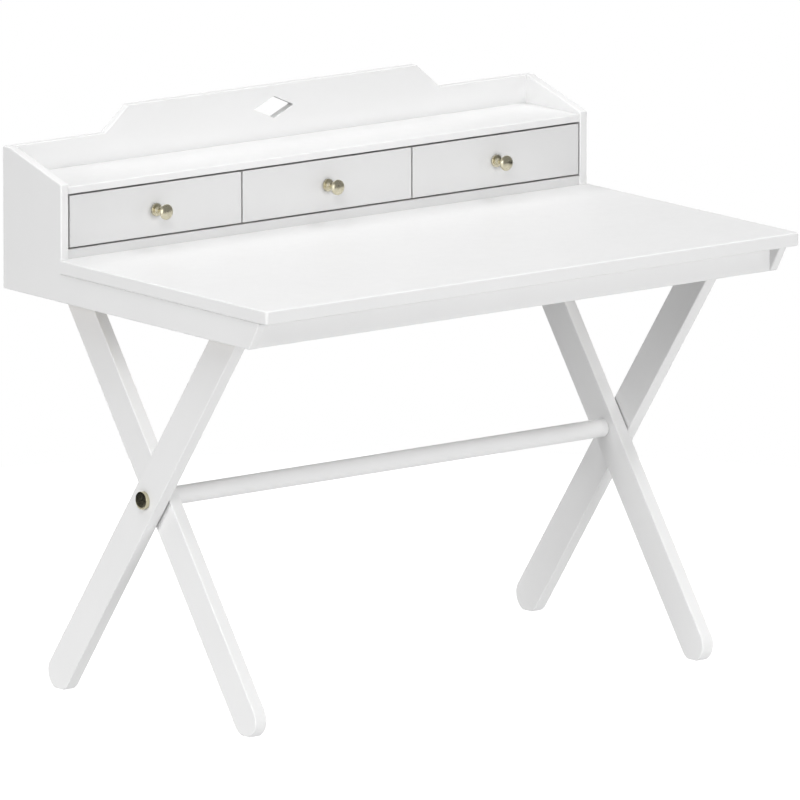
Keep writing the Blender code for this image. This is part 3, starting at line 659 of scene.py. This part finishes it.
def turned(name, profile, origin, direction, sides, finish, replaced, dent=None, dented=0):
    # a ring of points at each profile step: origin + along * direction + radius * (cos, sin) round it;
    # dent(x, y) pushes the first few rings in along direction
    profile = np.asarray(profile, float)
    direction = np.asarray(direction, float)
    first = np.array([0.0, 0.0, 1.0]) if abs(direction[2]) < 0.9 else np.array([1.0, 0.0, 0.0])
    second = np.cross(direction, first)
    a = np.linspace(0, 2 * np.pi, sides, endpoint=False)
    spin = np.cos(a)[:, None] * first + np.sin(a)[:, None] * second
    inner = profile[1:-1]
    radius, reach = inner[:, 0][:, None, None], inner[:, 1][:, None, None]
    rings = np.asarray(origin) + reach * direction + radius * spin[None]
    poles = np.asarray(origin) + profile[[0, -1], 1][:, None] * direction
    if dent is not None:
        x, y = (inner[:dented, 0][:, None] * wave(a)[None] for wave in (np.cos, np.sin))
        rings[:dented] += dent(x, y)[..., None] * direction
        poles[0] += dent(0.0, 0.0) * direction
    points = np.vstack([rings.reshape(-1, 3), poles])
    along = np.concatenate([[0], np.cumsum(np.linalg.norm(np.diff(profile, axis=0), axis=1))])
    marks = np.concatenate([np.repeat(along[1:-1], sides), along[[0, -1]]])
    m = len(inner)
    i = np.arange(sides)
    j = (i + 1) % sides
    k = np.arange(m - 1)[:, None] * sides
    quads = np.stack([k + i, k + j, k + sides + j, k + sides + i], -1).reshape(-1, 4)
    start = np.stack([np.full(sides, m * sides), j, i], 1)
    last = (m - 1) * sides
    end = np.stack([last + i, last + j, np.full(sides, m * sides + 1)], 1)
    faces = quads.tolist() + start.tolist() + end.tolist()
    corner = points[quads]
    a, b, c = (corner[:, k] - origin for k in range(3))
    volume = np.einsum("ij,ij->i", a, np.cross(b, c)).sum()
    if volume < 0:
        faces = [f[::-1] for f in faces]
    allMarks = {"along": marks, "edge": np.zeros(len(points))}
    return addPiece(name, points, faces, None, allMarks, finish, replaced)


def soften(value, half, blur):
    # 1 inside half, 0 outside, easing over blur
    t = np.clip((half - np.abs(value)) / blur + 0.5, 0, 1)
    return t * t * (3 - 2 * t)


crossDrive = {"arm": 0.13, "long": 0.52, "blur": 0.10, "deep": 0.55, "sides": 64, "rings": 22, "crown": 0.30}
# shares of the head's radius, of its height and, at the point, of the shank's radius
head = {"crownWide": 0.94, "rimIn": 0.985, "rimStart": 0.06, "rimFull": 0.18, "rimEnd": 0.96, "seatIn": 0.97,
        "pointLong": 0.6, "pointWide": 0.5}
hexDrive = {"across": 0.48, "blur": 0.08, "deep": 0.60, "sides": 72, "rings": 24, "crown": 0.22}


def fastener(node, axis, headAtHigh, headHeight, shankRadius, s):
    # crown height falls with the square of the radius, then a rounded rim, the underside and the shank
    lowest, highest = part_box(node)
    rest, _ = axesOf(axis)
    wide = (highest[rest[0]] - lowest[rest[0]]) / 2
    length = highest[axis] - lowest[axis]
    origin = (lowest + highest) / 2
    origin[axis] = highest[axis] if headAtHigh else lowest[axis]
    direction = np.zeros(3)
    direction[axis] = -1 if headAtHigh else 1
    rho = np.linspace(0, 1, s["rings"])
    crown = np.stack([rho * wide * head["crownWide"], headHeight * s["crown"] * rho ** 2], 1)
    start = headHeight * s["crown"]
    h = head
    rim = np.array([(wide * h["rimIn"], start + headHeight * h["rimStart"]),
                    (wide, start + headHeight * h["rimFull"]), (wide, headHeight * h["rimEnd"]),
                    (wide * h["seatIn"], headHeight), (shankRadius, headHeight),
                    (shankRadius, length - shankRadius * h["pointLong"]),
                    (shankRadius * h["pointWide"], length), (0, length)])
    deep = headHeight * s["deep"]
    blur = s["blur"] * wide

    def dent(x, y):
        if "arm" in s:
            arm, long = s["arm"] * wide, s["long"] * wide
            bars = (soften(x, arm, blur) * soften(y, long, blur), soften(y, arm, blur) * soften(x, long, blur))
            return deep * np.maximum(*bars)
        turns = [np.abs(x * math.cos(k * math.pi / 3) + y * math.sin(k * math.pi / 3)) for k in range(3)]
        return deep * soften(np.max(np.stack(np.broadcast_arrays(*turns)), 0), s["across"] * wide, blur)

    return turned(node.title(), np.vstack([crown, rim]), origin, direction, s["sides"], "zinc", node, dent,
                  s["rings"] - 1)


# ---- top, sides, aprons and back

topBoard = {"radius": 0.0028, "corner": 0.0060, "steps": 8, "hutchDepth": 0.165, "seat": 0.0003,
            "tight": 0.0001, "blend": 0.006}
sideBoard = {"radius": 0.0025, "corner": 0.0030, "steps": 7, "flat": 0.019, "frontHeight": 0.129,
             "slantTop": 0.025, "slantBottom": 0.054}
backBoard = {"radius": 0.0015, "corner": 0.0019, "steps": 6, "holeRadius": 0.0007, "crestTop": 0.626,
             "crestBase": 0.728, "crestRise": 0.044, "holeWidth": 0.086, "holeHeight": 0.038, "holeDrop": 0.039,
             "tight": 0.0001, "blend": 0.004}
# these run the length of the desk: radii at front bottom, back bottom, back top and front top, and how far the
# ends, the back edge and the underside reach on to close their joints
apronBoard = {"radius": 0.0001, "corner": [0.0014, 0.0014, 0.0002, 0.0002], "steps": 6, "reach": (0.0003, 0, 0)}
shelfBoard = {"radius": 0.0001, "corner": [0.0010, 0.0002, 0.0002, 0.0018], "steps": 6,
              "reach": (0.0003, 0.0003, 0)}
floorBoard = {"radius": 0.0001, "corner": [0.0002, 0.0002, 0.0002, 0.0013], "steps": 6,
              "reach": (0.0003, 0.0003, 0.0004)}

topLow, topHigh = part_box("desktop")
sideLow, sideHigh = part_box("side_panel_right")
backLow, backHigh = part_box("back_panel")
hutchY = sideHigh.y - topBoard["hutchDepth"]
notchX = backHigh.x  # the desktop reaches back between the side panels
halfTop = topHigh.x
notchY = hutchY - topBoard["seat"]


def mirrorRows(rows):
    # (x, other, radius) down the right half, then the same points back up the left half
    rows = np.asarray(rows, float)
    return np.vstack([rows, (rows * [-1, 1, 1])[::-1][rows[::-1, 0] != 0]])


def radii(rows, s):
    return {**s, "radius": rows[:, 2], "corner": rows[:, 2] * s["corner"] / s["radius"]}


full, tight = topBoard["radius"], topBoard["tight"]
rows = mirrorRows([(halfTop, topLow.y, full), (halfTop, notchY - topBoard["blend"], full),
                   (halfTop, notchY, tight), (notchX, notchY, tight), (notchX, topHigh.y, tight)])
board("Desk_Top", rows[:, :2], 2, topLow.z, topHigh.z, radii(rows, topBoard), "paint", "desktop")

for label in ("left", "right"):
    lowest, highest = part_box("side_panel_" + label)
    s = sideBoard
    outline = [(topLow.y + s["slantBottom"], lowest.z), (highest.y, lowest.z), (highest.y, highest.z),
               (highest.y - s["flat"], highest.z), (hutchY, topHigh.z + s["frontHeight"]),
               (hutchY, topLow.z - topBoard["seat"]), (topLow.y + s["slantTop"], topLow.z - topBoard["seat"])]
    board("Side_" + label.title(), outline, 0, lowest.x, highest.x, s, "paint", "side_panel_" + label)

s = backBoard
full, tight = s["radius"], s["tight"]
shoulder = backHigh.z - s["crestRise"]
holeZ = backHigh.z - s["holeDrop"]
endX = sideLow.x  # the back board closes its joint with the side panels
rows = mirrorRows([(0, backLow.z, tight), (endX, backLow.z, tight), (endX, shoulder - s["blend"], tight),
                   (endX, shoulder, full), (s["crestBase"] / 2, shoulder, full),
                   (s["crestTop"] / 2, backHigh.z, full), (0, backHigh.z, full)])
diamond = [(0, holeZ + s["holeHeight"] / 2), (s["holeWidth"] / 2, holeZ), (0, holeZ - s["holeHeight"] / 2),
           (-s["holeWidth"] / 2, holeZ)]
board("Back_Board", rows[:, :2], 1, backLow.y, backHigh.y, radii(rows, s), "paint", "back_panel", diamond)
plank("front_apron", apronBoard, "paint", 0)
plank("hutch_shelf", shelfBoard, "paint", 0)
# the hutch floor takes the darker coat: painted shade at its joint with the desktop
plank("hutch_floor", floorBoard, "drawerPaint", 0)
print("boards made")


# ---- drawers

drawerFront = {"radius": 0.0010, "corner": 0.0013, "steps": 6}
boxBoard = {"radius": 0.0006, "corner": 0.0008, "steps": 3}
stripBoard = {"radius": 0.0008, "corner": 0.0010, "steps": 3}
knobScrew = (0.0026, 0.002)  # head height and shank radius
knob = {"sides": 96, "baseRadius": 0.0108, "baseThick": 0.0035, "baseEdge": 0.0007, "neck": 0.0046,
        "flare": 0.6, "phase": 0.12, "join": 1.25, "headRadius": 0.0135, "headHalf": 0.0068,
        "headCentre": 0.0285, "bore": 0.0023, "boreDepth": 0.013, "neckStep": 0.0005, "foot": 0.0002,
        "rimSteps": 7, "neckSteps": 16, "headSteps": 40}


def knobProfile(s):
    # (radius, distance from the drawer): bore, disc with a rounded rim, waisted neck, and a flattened ball
    turn = np.linspace(0, quarter, s["rimSteps"])
    rim = np.stack([s["baseRadius"] - s["baseEdge"] * (1 - np.cos(turn)),
                    s["baseThick"] - s["baseEdge"] * (1 - np.sin(turn))], 1)
    join = math.asin(s["neck"] * s["join"] / s["headRadius"])
    neckStart = s["baseThick"] + s["neckStep"]
    neckEnd = s["headCentre"] - s["headHalf"] * math.cos(join)
    share = np.linspace(0, 1, s["neckSteps"])[:-1]
    waist = 1 + s["flare"] * (1 - np.sin(np.pi * np.minimum(1, share + s["phase"])))
    neck = np.stack([s["neck"] * waist, neckStart + (neckEnd - neckStart) * share], 1)
    swing = np.linspace(join, np.pi, s["headSteps"])
    ball = np.stack([s["headRadius"] * np.sin(swing), s["headCentre"] - s["headHalf"] * np.cos(swing)], 1)
    ball[-1, 0] = 0
    start = np.array([(0, s["boreDepth"]), (s["bore"], s["boreDepth"]), (s["bore"], 0),
                      (s["baseRadius"] - s["foot"], 0), (s["baseRadius"], s["foot"])])
    return np.vstack([start, rim, neck, ball])


for number in (1, 2, 3):
    tag = f"drawer_{number}_"
    # drawer fronts take the darker coat: painted shade for the shade near the desktop below them
    plank(tag + "front", drawerFront, "drawerPaint", 1)
    plank(tag + "side_left", boxBoard, "birchY", 1)
    plank(tag + "side_right", boxBoard, "birchY", 1)
    plank(tag + "back", boxBoard, "birchX", 0)
    plank(tag + "bottom", boxBoard, "veneer")
    lowest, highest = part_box(tag + "knob")
    centre = (lowest + highest) / 2
    turned(f"Drawer_{number}_Knob", knobProfile(knob), (centre.x, highest.y, centre.z), (0, -1, 0),
           knob["sides"], "brass", tag + "knob")
    fastener(tag + "knob_screw", 1, True, *knobScrew, crossDrive)
for name in ("divider_1", "divider_2", "drawer_guide_left", "drawer_guide_right"):
    plank(name, stripBoard, "birchY", 1)
print("drawers made")


# ---- legs, stretcher and hardware

leg = {"radius": 0.0022, "corner": 0.0028, "steps": 6, "width": 0.0615, "footFlat": 0.023, "footSteps": 40,
       "frontInset": 0.142, "backInset": 0.0694, "footSkip": 0.0008}
rail = {"radius": 0.0010, "corner": 0.0012, "steps": 3}
stretcher = {"sides": 96, "edge": 0.0012, "bore": 0.0068, "boreDepth": 0.0253, "lead": 0.01, "rings": 25,
             "rimSteps": 7}
cap = {"sides": 96, "edge": 0.0008, "room": 0.0083, "depth": 0.0045, "foot": 0.0002,
       "faceRings": (0.011, 0.006), "rimSteps": 9}
legBolt = (0.0035, 0.003)  # head height and shank radius
topScrew = (0.0025, 0.0022)

barLow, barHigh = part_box("stretcher")
pivot = np.array([(barLow.y + barHigh.y) / 2, (barLow.z + barHigh.z) / 2])


def legOutline(topY, topZ, s):
    # straight sides that meet a half circle round the foot's middle, cut level at the floor and under the top
    half = s["width"] / 2
    line = np.array([topY, topZ]) - pivot
    line /= np.linalg.norm(line)
    across = np.array([-line[1], line[0]])
    footZ = math.sqrt(half ** 2 - (s["footFlat"] / 2) ** 2)
    foot = pivot - line * ((pivot[1] - footZ) / line[1])
    a = math.atan2(across[1], across[0]) + np.linspace(0, np.pi, s["footSteps"] + 1)
    arc = foot + half * np.stack([np.cos(a), np.sin(a)], 1)
    below = arc[:, 1] <= s["footSkip"]
    cut = int(np.argmax(below))
    flat = np.array([[foot[0] - s["footFlat"] / 2, 0.0], [foot[0] + s["footFlat"] / 2, 0.0]])
    if flat[0, 0] > foot[0]:
        flat = flat[::-1]
    arcWithFlat = np.vstack([arc[:cut], flat, arc[cut:][~below[cut:]]])
    ends = [foot + side * across * half for side in (-1, 1)]
    tops = [e + line * ((topZ - e[1]) / line[1]) for e in ends]
    return np.vstack([tops[0], tops[1], arcWithFlat])


backY = sideHigh.y
for label in ("left", "right"):
    for name, topY in (("outer_leg_", topLow.y + leg["frontInset"]), ("inner_leg_", backY - leg["backInset"])):
        lowest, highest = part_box(name + label)
        board(titled(name + label), legOutline(topY, highest.z, leg), 0, lowest.x, highest.x, leg, "paint",
              name + label)
    plank("leg_rail_" + label, rail, "birchY", 1)
    plank("leg_spacer_" + label, rail, "birchY", 1)
    side = -1 if label == "left" else 1
    lowest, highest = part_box("pivot_cap_" + label)
    high, wide = highest.x - lowest.x, (highest.z - lowest.z) / 2
    turn = np.linspace(0, quarter, cap["rimSteps"])
    rim = np.stack([wide - cap["edge"] * (1 - np.cos(turn)), high - cap["edge"] * (1 - np.sin(turn))], 1)
    face = [(radius, high) for radius in (*cap["faceRings"], 0)]
    profile = np.vstack([[(0, cap["depth"]), (cap["room"], cap["depth"]), (cap["room"], 0),
                          (wide - cap["foot"], 0), (wide, cap["foot"])], rim, face])
    seat = lowest.x if side > 0 else highest.x
    turned("Pivot_Cap_" + label.title(), profile, (seat, pivot[0], pivot[1]), (side, 0, 0), cap["sides"],
           "capBrass", "pivot_cap_" + label)

for label in ("left", "right"):
    for end in ("front", "back"):
        fastener(f"leg_bolt_{end}_{label}", 0, label == "left", *legBolt, hexDrive)
        fastener(f"top_screw_{end}_{label}", 2, False, *topScrew, crossDrive)

wide, long = (barHigh.z - barLow.z) / 2, barHigh.x - barLow.x
turn = np.linspace(0, quarter, stretcher["rimSteps"])
rise = stretcher["edge"] * (1 - np.cos(turn))
rim = np.stack([wide - stretcher["edge"] * (1 - np.sin(turn)), rise], 1)
b, d = stretcher["bore"], stretcher["boreDepth"]
lead, rings = stretcher["lead"], stretcher["rings"]
middle = np.stack([np.full(rings, wide), np.linspace(lead, long - lead, rings)], 1)
profile = np.vstack([[(0, d), (b, d), (b, 0)], rim, middle, np.stack([rim[::-1, 0], long - rim[::-1, 1]], 1),
                     [(b, long), (b, long - d), (0, long - d)]])
turned("Stretcher", profile, (barLow.x, pivot[0], pivot[1]), (1, 0, 0), stretcher["sides"], "paint",
       "stretcher")

for name, node in nodes.items():
    if not node.hide_render:
        finish = "brass" if name.startswith("stretcher_insert") else "zinc"
        node.data.materials.clear()
        node.data.materials.append(finishes[finish])
        print("kept", name, finish)
print("legs made")
